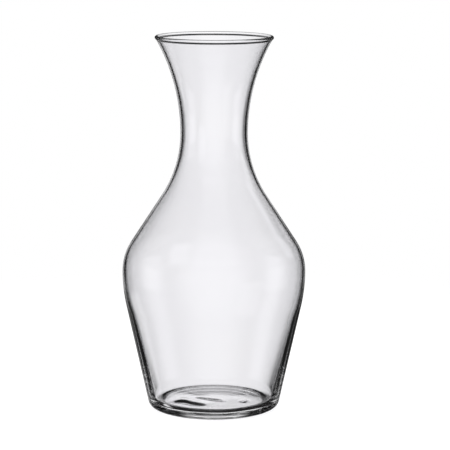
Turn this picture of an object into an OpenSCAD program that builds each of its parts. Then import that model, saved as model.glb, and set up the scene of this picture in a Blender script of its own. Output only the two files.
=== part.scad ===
// Table carafe in clear blown glass: one revolved wall with a flared, fire-polished mouth, a waisted
// neck, a steep shoulder, a body that tapers down to a rounded heel, and a thick base with a shallow
// push-up under it. The origin is the centre of the ring that it stands on, and +Z is its axis.

/* [Mouth] */
// Height from the standing ring to the top of the lip
height = 245; // [222:1:294]
// Outside diameter across the lip
mouth_d = 77; // [62:0.2:94]
// How far the round lip stands proud of each face of the wall below it
lip_bulge = 0.35; // [0.1:0.05:0.6]
// Radius that blends the lip into the wall
lip_blend_r = 2; // [1:0.5:6]

/* [Neck] */
// Outside diameter at the waist of the neck
neck_d = 43.8; // [34:0.2:53]
// Height of the waist of the neck
neck_height = 182; // [171:1:196]
// Wall thickness from the waist of the neck up to the lip
neck_wall = 1.7; // [1.4:0.1:3]
// Radius of the curve from the waist down to the shoulder cone
neck_curve_r = 75.5; // [50:0.5:88]

/* [Body] */
// Outside diameter at the widest part
body_d = 119.8; // [108:0.2:132]
// Height of the widest part
body_height = 91; // [79:1:98]
// Wall thickness at the widest part
body_wall = 2.2; // [1.6:0.1:3.5]
// Radius of the curve from the widest part up to the shoulder cone
shoulder_r = 34.5; // [24:0.5:44]
// Radius of the curve from the widest part down to the tapering wall
belly_r = 108; // [70:1:138]
// The same radius on the inside, where a smaller one thickens the wall sooner
belly_inner_r = 60; // [30:1:100]

/* [Base] */
// Outside diameter of the ring that it stands on
ring_d = 75.6; // [65:0.2:86]
// Width of the ring that it stands on
ring_w = 1.5; // [1:0.5:6]
// Outside radius of the heel
heel_r = 5.6; // [3:0.2:8]
// Wall thickness where the tapering wall meets the heel
heel_wall = 4.8; // [2.5:0.1:6.5]
// Inside radius between the wall and the floor
floor_corner_r = 6.8; // [4:0.2:13]
// Height of the inside floor at its edge, above the standing ring
floor_height = 4.4; // [3.8:0.1:8]
// Rise of the inside floor from its edge to its centre
floor_rise = 0.5; // [0.2:0.1:1.5]
// Depth of the shallow push-up under the base
push_up = 2.4; // [0.4:0.1:3]

/* [Glass] */
// Tint of the clear glass
glass_tint = "#dfe4e8"; // ["#dfe4e8":Clear, "#cfe3d6":Pale green, "#d9e2ee":Pale blue]
// How much of the tint shows
glass_alpha = 0.45; // [0.2:0.05:1]

/* [Hidden] */

// Largest gap between a true curve of the outline and its chords
chord_gap = 0.02;
// Outline points closer together than this are one point
merge_gap = 0.001;
// Steps round the axis in a mesh preview
turn_steps = 180;

lip_r = neck_wall / 2 + lip_bulge;
lip_c = [mouth_d / 2 - lip_r, height - lip_r];
belly_c = [body_d / 2 - belly_r, body_height];
belly_inner_c = [body_d / 2 - body_wall - belly_inner_r, body_height];
shoulder_c = [body_d / 2 - shoulder_r, body_height];
neck_c = [neck_d / 2 + neck_curve_r, neck_height];

// The flare is the one circle that leaves the waist upright and runs through the middle of the lip.
flare_out = lip_c.x - neck_d / 2;
flare_up = lip_c.y - neck_height;
flare_r = (pow(flare_out, 2) + pow(flare_up, 2) - pow(neck_wall / 2, 2)) / (2 * flare_out + neck_wall);
flare_c = [neck_d / 2 + flare_r, neck_height];
lip_angle = direction(lip_c - flare_c);

// The inside corner lies heel_wall in from the straight, tapering outside of the wall.
heel_c = [ring_d / 2, heel_r];
taper = taper_angle(heel_c, heel_r, belly_c, belly_r);
corner_drop = heel_c.y - floor_height - floor_corner_r;
corner_in = heel_r - heel_wall - floor_corner_r - corner_drop * sin(taper);
corner_c = [heel_c.x + corner_in / cos(taper), floor_height + floor_corner_r];

// Direction of a vector, in degrees
function direction(v) = atan2(v.y, v.x);

// Unit vector in a direction
function unit(angle) = [cos(angle), sin(angle)];

// Lean of the straight line that touches a low circle and a belly curve
function taper_angle(low_c, low_r, high_c, high_r) =
    let (apart = high_c - low_c)
    acos((low_r - high_r) / norm(apart)) - direction(apart);

// Slope of the shoulder cone, which touches the shoulder curve and the neck curve
function cone_angle(shoulder_inset, neck_inset) =
    let (apart = neck_c - shoulder_c, reach = shoulder_r - shoulder_inset + neck_curve_r + neck_inset)
    direction(apart) - acos(reach / norm(apart));

// Centre of the blend between the lip and one face of the flare: side is -1 outside and 1 inside
function blend_centre(face_r, side) =
    let (a = norm(lip_c - flare_c), b = face_r + side * lip_blend_r, c = lip_r + lip_blend_r)
    flare_c + b * unit(lip_angle + acos((a * a + b * b - c * c) / (2 * a * b)));

// One face of the wall from the heel up to the lip, as arcs of [centre, radius, from, to] that a
// straight line joins where they don't touch. The insets carry it from the outside to the inside.
function wall_arcs(low_c, low_r, high_c, high_r, body_inset, neck_inset, blend_c) =
    let (lean = taper_angle(low_c, low_r, high_c, high_r), slope = cone_angle(body_inset, neck_inset))
    [
        [low_c, low_r, -90, -lean],
        [high_c, high_r, -lean, 0],
        [shoulder_c, shoulder_r - body_inset, 0, slope],
        [neck_c, neck_curve_r + neck_inset, 180 + slope, 180],
        [flare_c, flare_r + neck_inset, 180, direction(blend_c - flare_c)],
    ];

// A shallow dome from the axis out to a radius, which rises by a height over a base level
function dome_arc(r, rise, level) =
    let (dome_r = (r * r + rise * rise) / (2 * rise))
    [[0, level + rise - dome_r], dome_r, 90, acos(r / dome_r)];

// The same arc drawn the other way round
function reversed(arc) = [arc[0], arc[1], arc[3], arc[2]];

// Points along an arc, with as many steps as the chord gap asks for
function arc_points(arc) =
    let (step = 2 * acos(1 - chord_gap / arc[1]), count = ceil(abs(arc[3] - arc[2]) / step))
    [for (i = [0:count]) arc[0] + arc[1] * unit(arc[2] + (arc[3] - arc[2]) * i / count)];

// The points of all arcs in turn, without the doubled points where two of them touch
function outline(arcs) =
    let (points = [for (arc = arcs) each arc_points(arc)], last = len(points) - 1)
    [for (i = [0:last]) if (i == 0 || norm(points[i] - points[i - 1]) > merge_gap) points[i]];

// Half section of the whole wall: up the outside, over the lip, down the inside and under the base
module wall_section() {
    outer_blend_c = blend_centre(flare_r, -1);
    inner_blend_c = blend_centre(flare_r + neck_wall, 1);
    outer_arcs = wall_arcs(heel_c, heel_r, belly_c, belly_r, 0, 0, outer_blend_c);
    inner_arcs = wall_arcs(
        corner_c, floor_corner_r, belly_inner_c, belly_inner_r, body_wall, neck_wall, inner_blend_c
    );
    lip_arcs = [
        [outer_blend_c, lip_blend_r, direction(outer_blend_c - flare_c), direction(lip_c - outer_blend_c)],
        [lip_c, lip_r, direction(outer_blend_c - lip_c), direction(inner_blend_c - lip_c)],
        [inner_blend_c, lip_blend_r, direction(lip_c - inner_blend_c), direction(flare_c - inner_blend_c)],
    ];
    down_arcs = [for (i = [len(inner_arcs) - 1:-1:0]) reversed(inner_arcs[i])];
    floor_arc = reversed(dome_arc(corner_c.x, floor_rise, floor_height));
    under_arc = dome_arc(ring_d / 2 - ring_w, push_up, 0);
    polygon(outline(concat(outer_arcs, lip_arcs, down_arcs, [floor_arc, under_arc])));
}

// The carafe, blown in one piece
module carafe() {
    color(glass_tint, glass_alpha)
        rotate_extrude($fn = turn_steps)
            wall_section();
}

carafe();
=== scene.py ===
import math
from collections import namedtuple

import bpy
from bpy.props import FloatProperty, FloatVectorProperty, PointerProperty
from bpy.types import Operator, Panel, PropertyGroup
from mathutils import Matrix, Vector, noise


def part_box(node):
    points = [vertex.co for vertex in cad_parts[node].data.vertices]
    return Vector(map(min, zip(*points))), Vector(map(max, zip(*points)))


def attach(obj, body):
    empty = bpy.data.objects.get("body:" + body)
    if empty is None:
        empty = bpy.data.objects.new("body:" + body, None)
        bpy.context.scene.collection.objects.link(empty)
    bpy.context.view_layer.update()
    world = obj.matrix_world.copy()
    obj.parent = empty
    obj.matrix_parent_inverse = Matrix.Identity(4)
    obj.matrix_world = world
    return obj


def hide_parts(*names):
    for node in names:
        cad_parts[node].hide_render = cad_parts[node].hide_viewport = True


bl_info = {
    "name": "Blown Glass Carafe",
    "version": (1, 0, 0),
    "blender": (4, 5, 0),
    "location": "View3D > Sidebar > Carafe",
    "description": "A clear blown-glass table carafe and the bright-field stage that it is photographed on",
    "category": "Object",
}

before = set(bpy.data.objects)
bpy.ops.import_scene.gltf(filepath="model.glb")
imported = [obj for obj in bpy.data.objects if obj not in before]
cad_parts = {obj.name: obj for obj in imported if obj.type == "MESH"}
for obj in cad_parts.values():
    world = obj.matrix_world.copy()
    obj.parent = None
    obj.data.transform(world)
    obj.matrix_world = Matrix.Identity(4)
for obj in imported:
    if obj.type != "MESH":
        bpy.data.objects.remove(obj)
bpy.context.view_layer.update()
LOW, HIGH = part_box("carafe")
MM = 0.001

# The longest step and the widest turn from one point of the section to the next
SECTION_STEP = 1.2 * MM
SECTION_TURN = math.radians(5)
# Points round each ring of the wall
RING_POINTS = 240
# Points of the section closer together than this are one point
MERGE_GAP = 0.001 * MM
# A point of the section nearer to the axis than this lies on it
AXIS_GAP = 0.01 * MM

# The waves and folds of the inside floor fade out between these heights above its edge
FLOOR_FADE_LOW = 3 * MM
FLOOR_FADE_HIGH = 12 * MM
# Height at which the floor waves cut through the noise that they come from
FLOOR_WAVE_LEVEL = 3 * MM
# The wall doesn't wander nearer to the axis than this
STILL_RADIUS = 5 * MM
# Heights count by this share in the noise of the wall waves, which makes them run up and down
WALL_WAVE_HEIGHT_SHARE = 0.3
# The thinnest place of the shoulder, as a share of the way from the widest part to the waist
THIN_SHOULDER_SHARE = 0.389
# The slant of the lip begins at this share of the height
SLANT_START_SHARE = 0.9

TABLE_CORNERS = 96
# The table begins to fade at this share of its radius
TABLE_FADE_SHARE = 0.4
# The pale room behind the camera begins this many degrees from straight ahead
ROOM_EDGE = 120
# How often light may be bent or mirrored on its way through the walls
LIGHT_BOUNCES = 24


def length(name, default, description):
    """A length in metres, shown in the scene's own unit."""
    return FloatProperty(
        name=name, description=description, default=default, min=0.0, precision=4,
        subtype="DISTANCE", unit="LENGTH",
    )


def angle(name, default, description):
    """An angle given in degrees."""
    return FloatProperty(
        name=name, description=description, default=math.radians(default), subtype="ANGLE", unit="ROTATION",
    )


def tone(name, default, description):
    """A linear colour."""
    return FloatVectorProperty(
        name=name, description=description, default=default, size=3, min=0.0, max=1.0, subtype="COLOR",
    )


def share(name, default, description):
    """A plain number that is never negative and seldom above 1."""
    return FloatProperty(name=name, description=description, default=default, min=0.0, soft_max=1.0)


class CarafeSizes(PropertyGroup):
    """The blown wall: the outside of the part, with an inside and a base shaped by how they bend light."""

    height: length("Height", HIGH.z - LOW.z, "From the standing ring to the top of the lip")
    mouth_diameter: length("Mouth diameter", 77 * MM, "Across the lip, outside")
    lip_bulge: length("Lip bulge", 0.38 * MM, "How far the lip stands proud of each face of the wall")
    lip_blend: length("Lip blend", 3 * MM, "Radius that blends the lip into the wall")
    neck_diameter: length("Neck diameter", 43.8 * MM, "Across the waist of the neck, outside")
    neck_height: length("Neck height", 182 * MM, "Height of the waist of the neck")
    neck_wall: length("Neck wall", 1.7 * MM, "Wall thickness from the waist up to the lip")
    neck_curve: length("Neck curve", 75.5 * MM, "Radius from the waist down to the shoulder cone")
    body_diameter: length("Body diameter", HIGH.x - LOW.x, "Across the widest part, outside")
    body_height: length("Body height", 91 * MM, "Height of the widest part")
    body_wall: length("Body wall", 1.9 * MM, "Wall thickness at the widest part")
    shoulder_curve: length("Shoulder curve", 34.5 * MM, "Radius from the widest part up to the cone")
    belly_curve: length("Belly curve", 108 * MM, "Radius from the widest part down to the taper")
    belly_inner_curve: length("Inner belly curve", 92 * MM, "The same radius on the inside")
    ring_diameter: length("Ring diameter", 76.1 * MM, "Across the ring that it stands on, outside")
    ring_width: length("Ring width", 2.1 * MM, "Width of the ring that it stands on")
    heel_radius: length("Heel radius", 5.35 * MM, "Outside radius of the heel")
    heel_wall: length("Heel wall", 4.85 * MM, "Wall thickness just above the heel")
    floor_corner: length("Floor corner", 7.4 * MM, "Inside radius between the wall and the floor")
    floor_height: length("Floor height", 4.25 * MM, "Height of the inside floor at its edge")
    floor_rise: length("Floor rise", 0.65 * MM, "Rise of the inside floor to its centre")
    push_up: length("Push-up", 2.1 * MM, "Depth of the shallow hollow under the base")


class CarafeGlass(PropertyGroup):
    """What the furnace and the blowing leave in the glass."""

    tint: tone("Tint", (0.986, 0.983, 1.0), "Colour that a wall of the glass lets through")
    tint_drift: share("Tint drift", 0.01, "How far the tint drifts up and down from place to place")
    tint_scale: FloatProperty(
        name="Tint scale", description="How close together the drifts of the tint are", default=18.0, min=0.0,
    )
    shadow_tone: tone("Shadow tone", (0.955, 0.955, 0.96), "Light that each wall lets through to a shadow")
    ior: FloatProperty(name="Index of refraction", description="Of soda-lime glass", default=1.5, min=1.0)
    floor_waves: length("Floor waves", 0.15 * MM, "How far the inside floor rises and falls")
    floor_wave_size: length("Floor wave size", 16 * MM, "Distance from one floor wave to the next")
    wall_waves: length("Wall waves", 0.05 * MM, "How far the inside of the wall wanders")
    wall_wave_size: length("Wall wave size", 30 * MM, "Distance from one wall wave to the next")
    thick_neck: length("Thick neck", 0.3 * MM, "How much thicker the wall is round the waist of the neck")
    thick_neck_reach: length("Thick neck reach", 30 * MM, "How far that goes up and down")
    thin_shoulder: length("Thin shoulder", 0.35 * MM, "How much thinner the wall is on the shoulder")
    thin_shoulder_reach: length("Thin shoulder reach", 26 * MM, "How far that goes up and down")
    lip_slant: length("Lip slant", 0.1 * MM, "How much lower the lip is on one side")


class CarafeStage(PropertyGroup):
    """The table, the bright field round the glass, the lamp and the camera."""

    backdrop: share("Backdrop", 1.0, "Strength of the white that the camera sees behind the carafe")
    panel: share("Panel", 1.0, "Strength of the white panels that the glass bends light from")
    surround: share("Surround", 0.01, "Strength of the dark between the panels")
    front: share("Front", 0.03, "Strength of what the outside of the glass mirrors between its panels")
    room: share("Room", 0.6, "Strength of the pale room behind the camera")
    table_tone: tone("Table", (0.8, 0.8, 0.805), "Colour of the pale table top")
    table_glow: share("Table glow", 0.4, "White that the camera sees on the table beside its colour")
    table_radius: length("Table radius", 0.5, "Radius at which the table has faded into the backdrop")
    daylight: share("Daylight", 0.6, "Strength of the even light on the table")
    lamp_power: FloatProperty(
        name="Lamp power", description="Of the soft lamp overhead", default=12.0, unit="POWER",
    )
    lamp_size: length("Lamp size", 0.9, "Along each side of the soft lamp")
    lamp_place: FloatVectorProperty(
        name="Lamp place", description="From the foot of the carafe, which it is aimed at",
        default=(-0.5, -0.3, 1.2), size=3, subtype="TRANSLATION", unit="LENGTH",
    )
    camera_distance: length("Camera distance", 1.4199, "From the axis of the carafe, level")
    camera_height: length("Camera height", 0.3542, "Above the table")
    camera_side: length("Camera side", 0.0072, "How far right of the carafe the camera stands")
    camera_pitch: angle("Camera pitch", 9.322, "How far it looks down")
    camera_roll: angle("Camera roll", 0.14, "How far it leans to the left")
    camera_lens: FloatProperty(name="Lens", description="Focal length", default=175.97, unit="CAMERA")


Circle = namedtuple("Circle", "centre radius")
# An arc of the wall's half section, from its start angle to its end angle, on one face of the glass
Arc = namedtuple("Arc", "centre radius start end face")


def circle(x, y, radius):
    """A circle of the half section."""
    return Circle(Vector((x, y)), radius)


def direction(vector):
    """The direction of a vector, as an angle."""
    return math.atan2(vector.y, vector.x)


def unit(turn):
    """The unit vector at an angle."""
    return Vector((math.cos(turn), math.sin(turn)))


def backwards(arc):
    """The same arc, drawn the other way round."""
    return arc._replace(start=arc.end, end=arc.start)


def taper_angle(low, high):
    """Lean of the straight line that touches a low circle and a belly circle."""
    apart = high.centre - low.centre
    return math.acos((low.radius - high.radius) / apart.length) - direction(apart)


def dome_arc(radius, rise, level, face):
    """A shallow dome that rises by a height over a level, from the axis out to a radius."""
    dome_radius = (radius * radius + rise * rise) / (2 * rise)
    centre = Vector((0, level + rise - dome_radius))
    return Arc(centre, dome_radius, math.pi / 2, math.acos(radius / dome_radius), face)


class WallSection:
    """The half section of the whole wall, as arcs that run into each other."""

    def __init__(self, sizes):
        self.sizes = sizes
        widest, waist = sizes.body_diameter / 2, sizes.neck_diameter / 2
        body, neck = sizes.body_height, sizes.neck_height
        lip_r = sizes.neck_wall / 2 + sizes.lip_bulge
        self.lip = circle(sizes.mouth_diameter / 2 - lip_r, sizes.height - lip_r, lip_r)
        self.heel = circle(sizes.ring_diameter / 2, sizes.heel_radius, sizes.heel_radius)
        self.belly = circle(widest - sizes.belly_curve, body, sizes.belly_curve)
        inner_x = widest - sizes.body_wall - sizes.belly_inner_curve
        self.inner_belly = circle(inner_x, body, sizes.belly_inner_curve)
        self.shoulder = circle(widest - sizes.shoulder_curve, body, sizes.shoulder_curve)
        self.neck = circle(waist + sizes.neck_curve, neck, sizes.neck_curve)
        # The flare leaves the waist upright and carries the lip in the middle of the wall
        out, up = self.lip.centre.x - waist, self.lip.centre.y - neck
        flare_r = (out ** 2 + up ** 2 - (sizes.neck_wall / 2) ** 2) / (2 * out + sizes.neck_wall)
        self.flare = circle(waist + flare_r, neck, flare_r)

    def cone_angle(self, body_inset, neck_inset):
        """Slope of the shoulder cone, which touches the shoulder curve and the neck curve."""
        apart = self.neck.centre - self.shoulder.centre
        reach = self.shoulder.radius - body_inset + self.neck.radius + neck_inset
        return direction(apart) - math.acos(reach / apart.length)

    def floor_corner(self):
        """The inside corner, which leaves the wall its thickness above the heel."""
        sizes = self.sizes
        lean = taper_angle(self.heel, self.belly)
        drop = self.heel.centre.y - sizes.floor_height - sizes.floor_corner
        inward = sizes.heel_radius - sizes.heel_wall - sizes.floor_corner - drop * math.sin(lean)
        x = self.heel.centre.x + inward / math.cos(lean)
        return circle(x, sizes.floor_height + sizes.floor_corner, sizes.floor_corner)

    def lip_blend(self, face_radius, side):
        """The blend between the lip and one face of the flare: side is -1 outside and 1 inside."""
        blend = self.sizes.lip_blend
        apart = self.lip.centre - self.flare.centre
        from_flare, from_lip = face_radius + side * blend, self.lip.radius + blend
        turn = math.acos(
            (apart.length_squared + from_flare ** 2 - from_lip ** 2) / (2 * apart.length * from_flare)
        )
        return Circle(self.flare.centre + from_flare * unit(direction(apart) + turn), blend)

    def wall(self, low, high, body_inset, neck_inset, blend, face):
        """One face of the wall from the heel up to the lip."""
        lean = taper_angle(low, high)
        slope = self.cone_angle(body_inset, neck_inset)
        shoulder, neck, flare = self.shoulder, self.neck, self.flare
        flare_end = direction(blend.centre - flare.centre)
        return [
            Arc(*low, -math.pi / 2, -lean, face),
            Arc(*high, -lean, 0, face),
            Arc(shoulder.centre, shoulder.radius - body_inset, 0, slope, face),
            Arc(neck.centre, neck.radius + neck_inset, math.pi + slope, math.pi, face),
            Arc(flare.centre, flare.radius + neck_inset, math.pi, flare_end, face),
        ]

    def lip_arcs(self, outer, inner):
        """The lip and the blends on its two sides, from the outside to the inside."""
        lip, flare = self.lip.centre, self.flare.centre
        return [
            Arc(*outer, direction(outer.centre - flare), direction(lip - outer.centre), "lip"),
            Arc(*self.lip, direction(outer.centre - lip), direction(inner.centre - lip), "lip"),
            Arc(*inner, direction(lip - inner.centre), direction(flare - inner.centre), "lip"),
        ]

    def arcs(self):
        """All arcs, from the axis under the base, up the outside, over the lip and down to the floor."""
        sizes = self.sizes
        outer = self.lip_blend(self.flare.radius, -1)
        inner = self.lip_blend(self.flare.radius + sizes.neck_wall, 1)
        corner = self.floor_corner()
        under = dome_arc(sizes.ring_diameter / 2 - sizes.ring_width, sizes.push_up, 0, "under")
        outside = self.wall(self.heel, self.belly, 0, 0, outer, "outside")
        inside = self.wall(corner, self.inner_belly, sizes.body_wall, sizes.neck_wall, inner, "inside")
        floor = dome_arc(corner.centre.x, sizes.floor_rise, sizes.floor_height, "inside")
        down = [backwards(arc) for arc in reversed(inside)]
        return [under] + outside + self.lip_arcs(outer, inner) + down + [backwards(floor)]

    def points(self):
        """Points along the section, each with the face that it lies on."""
        found = []
        for centre, radius, start, end, face in self.arcs():
            sweep = end - start
            count = max(
                math.ceil(abs(sweep) / SECTION_TURN), math.ceil(abs(sweep) * radius / SECTION_STEP), 1,
            )
            here = [centre + radius * unit(start + sweep * i / count) for i in range(count + 1)]
            if found:
                last = found[-1][0]
                gap = here[0] - last
                extra = math.ceil(gap.length / SECTION_STEP)
                found += [(last + gap * i / extra, face) for i in range(1, extra)]
                if gap.length < MERGE_GAP:
                    here = here[1:]
            found += [(point, face) for point in here]
        return found


def smooth(low, high, value):
    """Runs from 0 at low to 1 at high without a kink."""
    t = min(max((value - low) / (high - low), 0.0), 1.0)
    return t * t * (3 - 2 * t)


def bell(value, middle, reach):
    """1 in the middle, falling to nothing on both sides."""
    return math.exp(-((value - middle) / reach) ** 2)


# A low fold that the gathering left in the inside floor, in millimetres: its middle, half its length and
# half its width, its turn from +X in degrees, and its height
Fold = namedtuple("Fold", "x y half_length half_width turn height")
FOLDS = (
    Fold(-15.5, -11, 12, 6, -42, 1.4),
    Fold(-3, -3, 10, 2.2, -20, 0.6),
    Fold(20, -7, 3.5, 2, 60, 0.5),
)


def fold_height(x, y):
    """How high the folds stand at a point of the inside floor."""
    total = 0.0
    for fold in FOLDS:
        away = Vector((x / MM - fold.x, y / MM - fold.y))
        lengthways = unit(math.radians(fold.turn))
        along = away.dot(lengthways) / fold.half_length
        across = lengthways.cross(away) / fold.half_width
        total += fold.height * MM * math.exp(-along ** 4 - across ** 2)
    return total


def wall_push(x, y, z, off_floor, sizes, glass):
    """How far out the inside of the wall lies from its perfect section: waves and an uneven thickness."""
    drift = noise.noise(Vector((x, y, z * WALL_WAVE_HEIGHT_SHARE)) / glass.wall_wave_size)
    thinnest = sizes.body_height + THIN_SHOULDER_SHARE * (sizes.neck_height - sizes.body_height)
    thinner = glass.thin_shoulder * bell(z, thinnest, glass.thin_shoulder_reach)
    thicker = glass.thick_neck * bell(z, sizes.neck_height, glass.thick_neck_reach)
    return glass.wall_waves * drift * off_floor + thinner - thicker


def blown(point, face, sizes, glass):
    """Moves a point of the perfect section by what blowing leaves."""
    x, y, z = point
    radius = math.hypot(x, y)
    if face == "inside":
        edge = sizes.floor_height
        on_floor = 1 - smooth(edge + FLOOR_FADE_LOW, edge + FLOOR_FADE_HIGH, z)
        wave = noise.noise(Vector((x, y, FLOOR_WAVE_LEVEL)) / glass.floor_wave_size)
        z += on_floor * (glass.floor_waves * wave + fold_height(x, y))
        if radius > STILL_RADIUS and on_floor < 1:
            push = wall_push(x, y, z, 1 - on_floor, sizes, glass)
            x, y = x + x * push / radius, y + y * push / radius
    top = smooth(SLANT_START_SHARE * sizes.height, sizes.height, z)
    z -= glass.lip_slant * top * (0.5 + x / sizes.mouth_diameter)
    return Vector((x, y, z))


def ring_face(lower, upper, k):
    """The face between two rings after their point k, where a ring on the axis has one point."""
    n = (k + 1) % RING_POINTS
    if len(lower) == 1:
        return (lower[0], upper[n], upper[k])
    if len(upper) == 1:
        return (lower[k], lower[n], upper[0])
    return (lower[k], lower[n], upper[n], upper[k])


def lathe(name, section, shape):
    """Turns a section that starts and ends on the axis into a closed smooth mesh."""
    verts, rings = [], []
    for point, face in section:
        count = 1 if point.x < AXIS_GAP else RING_POINTS
        rings.append(range(len(verts), len(verts) + count))
        for k in range(count):
            across = point.x * unit(2 * math.pi * k / RING_POINTS)
            verts.append(shape(Vector((across.x, across.y, point.y)), face))
    faces = [ring_face(*pair, k) for pair in zip(rings, rings[1:]) for k in range(RING_POINTS)]
    mesh = bpy.data.meshes.new(name)
    mesh.from_pydata(verts, [], faces)
    mesh.validate()
    mesh.shade_smooth()
    obj = bpy.data.objects.new(name, mesh)
    bpy.context.scene.collection.objects.link(obj)
    return obj


def new_material(name):
    """An empty material and its node tree."""
    material = bpy.data.materials.new(name)
    material.use_nodes = True
    material.node_tree.nodes.clear()
    return material, material.node_tree


def feed(tree, socket, value):
    """Sets an input socket to a number, or links another node's output to it."""
    if isinstance(value, (int, float)):
        socket.default_value = value
    else:
        tree.links.new(value, socket)


def math_node(tree, operation, *values):
    """A Math node fed by sockets or numbers; gives its output socket."""
    node = tree.nodes.new("ShaderNodeMath")
    node.operation = operation
    for socket, value in zip(node.inputs, values):
        feed(tree, socket, value)
    return node.outputs["Value"]


def map_range(tree, value, low, high, to_low=0.0, to_high=1.0, way="LINEAR"):
    """A Map Range node from low..high to to_low..to_high; gives its output socket."""
    node = tree.nodes.new("ShaderNodeMapRange")
    node.interpolation_type = way
    for socket, number in zip(("From Min", "From Max", "To Min", "To Max"), (low, high, to_low, to_high)):
        node.inputs[socket].default_value = number
    tree.links.new(value, node.inputs["Value"])
    return node.outputs["Result"]


def soft_band(tree, value, low, high, soft_low, soft_high):
    """1 between low and high, fading to 0 over the softness below and above."""
    below = map_range(tree, value, low - soft_low, low, way="SMOOTHSTEP")
    above = map_range(tree, value, high + soft_high, high, way="SMOOTHSTEP")
    return math_node(tree, "MULTIPLY", below, above)


def drifting_tint(tree, glass):
    """The tint of the glass, a little stronger and weaker from place to place."""
    place = tree.nodes.new("ShaderNodeTexCoord")
    drift = tree.nodes.new("ShaderNodeTexNoise")
    drift.inputs["Scale"].default_value = glass.tint_scale
    drift.inputs["Detail"].default_value = 1.0
    tree.links.new(place.outputs["Object"], drift.inputs["Vector"])
    tint = tree.nodes.new("ShaderNodeMix")
    tint.data_type = "RGBA"
    tint.blend_type = "MULTIPLY"
    tint.inputs["Factor"].default_value = 1.0
    tint.inputs["A"].default_value = (*glass.tint, 1)
    strength = map_range(tree, drift.outputs["Fac"], 0.0, 1.0, 1 - glass.tint_drift, 1 + glass.tint_drift)
    tree.links.new(strength, tint.inputs["B"])
    return tint.outputs["Result"]


def glass_material(glass):
    """Clear glass with a faint tint that drifts, and a lighter shadow than solid glass would cast."""
    material, tree = new_material("clear_glass")
    nodes, link = tree.nodes, tree.links.new
    shader = nodes.new("ShaderNodeBsdfPrincipled")
    shader.inputs["Roughness"].default_value = 0.0
    shader.inputs["IOR"].default_value = glass.ior
    shader.inputs["Transmission Weight"].default_value = 1.0
    link(drifting_tint(tree, glass), shader.inputs["Base Color"])
    path = nodes.new("ShaderNodeLightPath")
    clear = nodes.new("ShaderNodeBsdfTransparent")
    clear.inputs["Color"].default_value = (*glass.shadow_tone, 1)
    mix = nodes.new("ShaderNodeMixShader")
    out = nodes.new("ShaderNodeOutputMaterial")
    link(path.outputs["Is Shadow Ray"], mix.inputs["Fac"])
    link(shader.outputs["BSDF"], mix.inputs[1])
    link(clear.outputs["BSDF"], mix.inputs[2])
    link(mix.outputs["Shader"], out.inputs["Surface"])
    return material


class CARAFE_OT_blow(Operator):
    """Blow the carafe: the whole wall in one piece of clear glass"""

    bl_idname = "carafe.blow"
    bl_label = "Blow the Carafe"

    def execute(self, context):
        sizes, glass = context.scene.carafe_sizes, context.scene.carafe_glass
        section = WallSection(sizes).points()
        carafe = lathe("blown_glass", section, lambda point, face: blown(point, face, sizes, glass))
        carafe.data.materials.append(glass_material(glass))
        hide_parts("carafe")
        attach(carafe, "root")
        return {"FINISHED"}


def table_material(stage):
    """A pale table top that fades into the backdrop, and is white where nothing shades it."""
    material, tree = new_material("pale_table")
    nodes, link = tree.nodes, tree.links.new
    shader = nodes.new("ShaderNodeBsdfDiffuse")
    shader.inputs["Color"].default_value = (*stage.table_tone, 1)
    path = nodes.new("ShaderNodeLightPath")
    glow = nodes.new("ShaderNodeEmission")
    seen = math_node(tree, "MULTIPLY", path.outputs["Is Camera Ray"], stage.table_glow)
    link(seen, glow.inputs["Strength"])
    both = nodes.new("ShaderNodeAddShader")
    link(shader.outputs["BSDF"], both.inputs[0])
    link(glow.outputs["Emission"], both.inputs[1])
    place = nodes.new("ShaderNodeTexCoord")
    reach = nodes.new("ShaderNodeVectorMath")
    reach.operation = "LENGTH"
    link(place.outputs["Object"], reach.inputs[0])
    radius = stage.table_radius
    fade = map_range(tree, reach.outputs["Value"], radius * TABLE_FADE_SHARE, radius, way="SMOOTHSTEP")
    clear = nodes.new("ShaderNodeBsdfTransparent")
    mix = nodes.new("ShaderNodeMixShader")
    out = nodes.new("ShaderNodeOutputMaterial")
    link(fade, mix.inputs["Fac"])
    link(both.outputs["Shader"], mix.inputs[1])
    link(clear.outputs["BSDF"], mix.inputs[2])
    link(mix.outputs["Shader"], out.inputs["Surface"])
    return material


def add_table(stage):
    """The round table top, which the glass neither mirrors nor shows bent."""
    turns = [2 * math.pi * k / TABLE_CORNERS for k in range(TABLE_CORNERS)]
    verts = [(stage.table_radius * math.cos(a), stage.table_radius * math.sin(a), LOW.z) for a in turns]
    mesh = bpy.data.meshes.new("table_top")
    mesh.from_pydata(verts, [], [tuple(range(TABLE_CORNERS))])
    mesh.materials.append(table_material(stage))
    table = bpy.data.objects.new("table_top", mesh)
    table.visible_transmission = False
    table.visible_glossy = False
    bpy.context.scene.collection.objects.link(table)


# A white panel far from the carafe, in degrees: its azimuth, where it is white and where it has faded to
# each side, its lowest and highest elevation, and its softness below and above. Then how white it is
FarPanel = namedtuple("FarPanel", "name azimuth half_white half_faded low high soft_low soft_high white")
# Panels that light bent by the glass comes from
BENT_PANELS = (
    FarPanel("ceiling", 92, 60, 100, 63, 90, 6, 1, 0.5),
    FarPanel("left", 181, 4, 27, -14, 9, 4, 4, 0.9),
    FarPanel("right", 1, 4, 27, -14, 9, 4, 4, 0.7),
    FarPanel("low_back_left", 142, 8, 16, -40, -19, 8, 3, 0.88),
    FarPanel("low_front_right", 317, 9, 21, -32, -7, 8, 4, 0.88),
    FarPanel("over_camera", 272, 24, 55, 36, 62, 8, 1, 0.9),
)
# Panels that the faces of the glass mirror
MIRRORED_PANELS = (
    FarPanel("low_back", 92, 9, 21, -40, -18, 10, 5, 1.0),
    FarPanel("pale_low_back", 103, 8, 16, -60, -18, 10, 8, 0.3),
)


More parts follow.
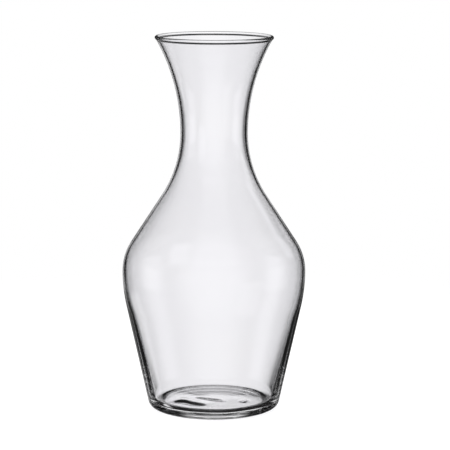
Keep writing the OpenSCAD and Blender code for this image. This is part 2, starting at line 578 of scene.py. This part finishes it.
def panel_mask(tree, around, elevation, panel):
    """How much of a far panel lies in a direction, from 0 to 1."""
    turns = panel[1:-1]
    azimuth, half_white, half_faded, low, high, soft_low, soft_high = (math.radians(a) for a in turns)
    toward = tree.nodes.new("ShaderNodeVectorMath")
    toward.label = panel.name
    toward.operation = "DOT_PRODUCT"
    toward.inputs[1].default_value = (math.cos(azimuth), math.sin(azimuth), 0)
    tree.links.new(around, toward.inputs[0])
    aside = math_node(tree, "ARCCOSINE", toward.outputs["Value"])
    across = map_range(tree, aside, half_faded, half_white, 0.0, panel.white, way="SMOOTHSTEP")
    return math_node(tree, "MULTIPLY", across, soft_band(tree, elevation, low, high, soft_low, soft_high))


def bright_field(tree, room, panels):
    """Far panels and the pale room behind the camera, dark between them: how white a direction is."""
    nodes, link = tree.nodes, tree.links.new
    place = nodes.new("ShaderNodeTexCoord")
    split = nodes.new("ShaderNodeSeparateXYZ")
    link(place.outputs["Generated"], split.inputs["Vector"])
    level = nodes.new("ShaderNodeCombineXYZ")
    link(split.outputs["X"], level.inputs["X"])
    link(split.outputs["Y"], level.inputs["Y"])
    around = nodes.new("ShaderNodeVectorMath")
    around.operation = "NORMALIZE"
    link(level.outputs["Vector"], around.inputs[0])
    elevation = math_node(tree, "ARCSINE", split.outputs["Z"])
    room_edge = math.cos(math.radians(ROOM_EDGE))
    total = map_range(tree, split.outputs["Y"], room_edge, -1.0, 0.0, room, way="SMOOTHSTEP")
    for panel in panels:
        mask = panel_mask(tree, around.outputs["Vector"], elevation, panel)
        total = math_node(tree, "MAXIMUM", total, mask)
    return total


def switch(tree, chosen, without, strength):
    """One strength where a light path is chosen and another elsewhere, as sockets or numbers."""
    node = tree.nodes.new("ShaderNodeMix")
    feed(tree, node.inputs["Factor"], chosen)
    feed(tree, node.inputs["A"], without)
    feed(tree, node.inputs["B"], strength)
    return node.outputs["Result"]


def world_light(stage):
    """White for the camera, even daylight for the table, and the bright field for the glass."""
    world = bpy.data.worlds.new("bright_field")
    world.use_nodes = True
    tree = world.node_tree
    tree.nodes.clear()
    path = tree.nodes.new("ShaderNodeLightPath").outputs
    mirrored = bright_field(tree, stage.room, MIRRORED_PANELS)
    mirrored = map_range(tree, mirrored, 0.0, 1.0, stage.front, stage.panel)
    bent = bright_field(tree, stage.room, BENT_PANELS)
    bent = map_range(tree, bent, 0.0, 1.0, stage.surround, stage.panel)
    strength = switch(tree, path["Is Glossy Ray"], stage.daylight, mirrored)
    strength = switch(tree, path["Is Transmission Ray"], strength, bent)
    strength = switch(tree, path["Is Camera Ray"], strength, stage.backdrop)
    background = tree.nodes.new("ShaderNodeBackground")
    background.inputs["Color"].default_value = (1, 1, 1, 1)
    out = tree.nodes.new("ShaderNodeOutputWorld")
    tree.links.new(strength, background.inputs["Strength"])
    tree.links.new(background.outputs["Background"], out.inputs["Surface"])
    bpy.context.scene.world = world


# An upright white card near the carafe: its azimuth in degrees, and in metres its distance, where it is
# white and where it has faded to each side, the lowest and highest place where it is white, and its
# softness below and above. Then how white it is
Card = namedtuple("Card", "name azimuth distance half_white half_faded low high soft_low soft_high white")
BACK_CARD = Card("back_card", 91.4, 1.0, 0.19, 0.43, -0.58, 0.19, 0.28, 0.17, 1.0)


def card_material(card, surround):
    """White in the middle of a card, fading to the dark of the surround at its edges."""
    material, tree = new_material(card.name)
    link = tree.links.new
    place = tree.nodes.new("ShaderNodeTexCoord")
    split = tree.nodes.new("ShaderNodeSeparateXYZ")
    link(place.outputs["Object"], split.inputs["Vector"])
    side = math_node(tree, "ABSOLUTE", split.outputs["X"])
    across = map_range(tree, side, card.half_faded, card.half_white, way="SMOOTHSTEP")
    upright = soft_band(tree, split.outputs["Z"], card.low, card.high, card.soft_low, card.soft_high)
    mask = math_node(tree, "MULTIPLY", across, upright)
    shine = tree.nodes.new("ShaderNodeEmission")
    out = tree.nodes.new("ShaderNodeOutputMaterial")
    link(map_range(tree, mask, 0.0, 1.0, surround, card.white), shine.inputs["Strength"])
    link(shine.outputs["Emission"], out.inputs["Surface"])
    material.cycles.emission_sampling = "NONE"
    return material


def add_card(card, surround):
    """An upright card that faces the axis and that only light bent by the glass finds."""
    low, high, edge = card.low - card.soft_low, card.high + card.soft_high, card.half_faded
    corners = [(-edge, 0, low), (edge, 0, low), (edge, 0, high), (-edge, 0, high)]
    mesh = bpy.data.meshes.new(card.name)
    mesh.from_pydata(corners, [], [tuple(range(len(corners)))])
    mesh.materials.append(card_material(card, surround))
    obj = bpy.data.objects.new(card.name, mesh)
    azimuth = math.radians(card.azimuth)
    obj.location = (card.distance * math.cos(azimuth), card.distance * math.sin(azimuth), 0)
    obj.rotation_euler = (0, 0, azimuth - math.pi / 2)
    obj.visible_camera = False
    obj.visible_diffuse = False
    obj.visible_glossy = False
    obj.visible_shadow = False
    bpy.context.scene.collection.objects.link(obj)


def add_lamp(stage):
    """A square soft lamp aimed at the foot of the carafe, which the glass doesn't mirror."""
    lamp = bpy.data.lights.new("soft_lamp", "AREA")
    lamp.size = stage.lamp_size
    lamp.energy = stage.lamp_power
    obj = bpy.data.objects.new("soft_lamp", lamp)
    obj.location = stage.lamp_place
    obj.rotation_euler = (-Vector(stage.lamp_place)).to_track_quat("-Z", "Y").to_euler()
    obj.visible_glossy = False
    obj.visible_transmission = False
    obj.visible_camera = False
    bpy.context.scene.collection.objects.link(obj)


def add_camera(stage):
    """The camera, in front of the carafe and looking down at it."""
    camera = bpy.data.cameras.new("camera")
    camera.lens = stage.camera_lens
    eye = bpy.data.objects.new("camera", camera)
    eye.location = (stage.camera_side, -stage.camera_distance, stage.camera_height)
    eye.rotation_mode = "ZXY"
    eye.rotation_euler = (math.pi / 2 - stage.camera_pitch, 0, stage.camera_roll)
    bpy.context.scene.collection.objects.link(eye)
    bpy.context.scene.camera = eye


class CARAFE_OT_stage(Operator):
    """Set the stage: table, bright field, soft lamp and camera"""

    bl_idname = "carafe.stage"
    bl_label = "Set the Stage"

    def execute(self, context):
        scene = context.scene
        stage = scene.carafe_stage
        add_table(stage)
        world_light(stage)
        add_card(BACK_CARD, stage.surround)
        add_lamp(stage)
        add_camera(stage)
        scene.view_settings.view_transform = "Standard"
        scene.cycles.max_bounces = LIGHT_BOUNCES
        scene.cycles.transmission_bounces = LIGHT_BOUNCES
        scene.cycles.glossy_bounces = LIGHT_BOUNCES
        scene.cycles.transparent_max_bounces = LIGHT_BOUNCES
        return {"FINISHED"}


class CARAFE_PT_sidebar(Panel):
    """The sizes, the glass and the stage of the carafe"""

    bl_idname = "CARAFE_PT_sidebar"
    bl_label = "Carafe"
    bl_space_type = "VIEW_3D"
    bl_region_type = "UI"
    bl_category = "Carafe"

    def draw(self, context):
        layout = self.layout
        for group in (context.scene.carafe_sizes, context.scene.carafe_glass, context.scene.carafe_stage):
            box = layout.box()
            for name in group.__annotations__:
                box.prop(group, name)
        layout.operator(CARAFE_OT_blow.bl_idname)
        layout.operator(CARAFE_OT_stage.bl_idname)


CLASSES = (CarafeSizes, CarafeGlass, CarafeStage, CARAFE_OT_blow, CARAFE_OT_stage, CARAFE_PT_sidebar)


def register():
    for cls in CLASSES:
        bpy.utils.register_class(cls)
    bpy.types.Scene.carafe_sizes = PointerProperty(type=CarafeSizes)
    bpy.types.Scene.carafe_glass = PointerProperty(type=CarafeGlass)
    bpy.types.Scene.carafe_stage = PointerProperty(type=CarafeStage)


def unregister():
    del bpy.types.Scene.carafe_stage
    del bpy.types.Scene.carafe_glass
    del bpy.types.Scene.carafe_sizes
    for cls in reversed(CLASSES):
        bpy.utils.unregister_class(cls)


def main():
    register()
    bpy.ops.carafe.stage()
    bpy.ops.carafe.blow()


if __name__ == "__main__":
    main()
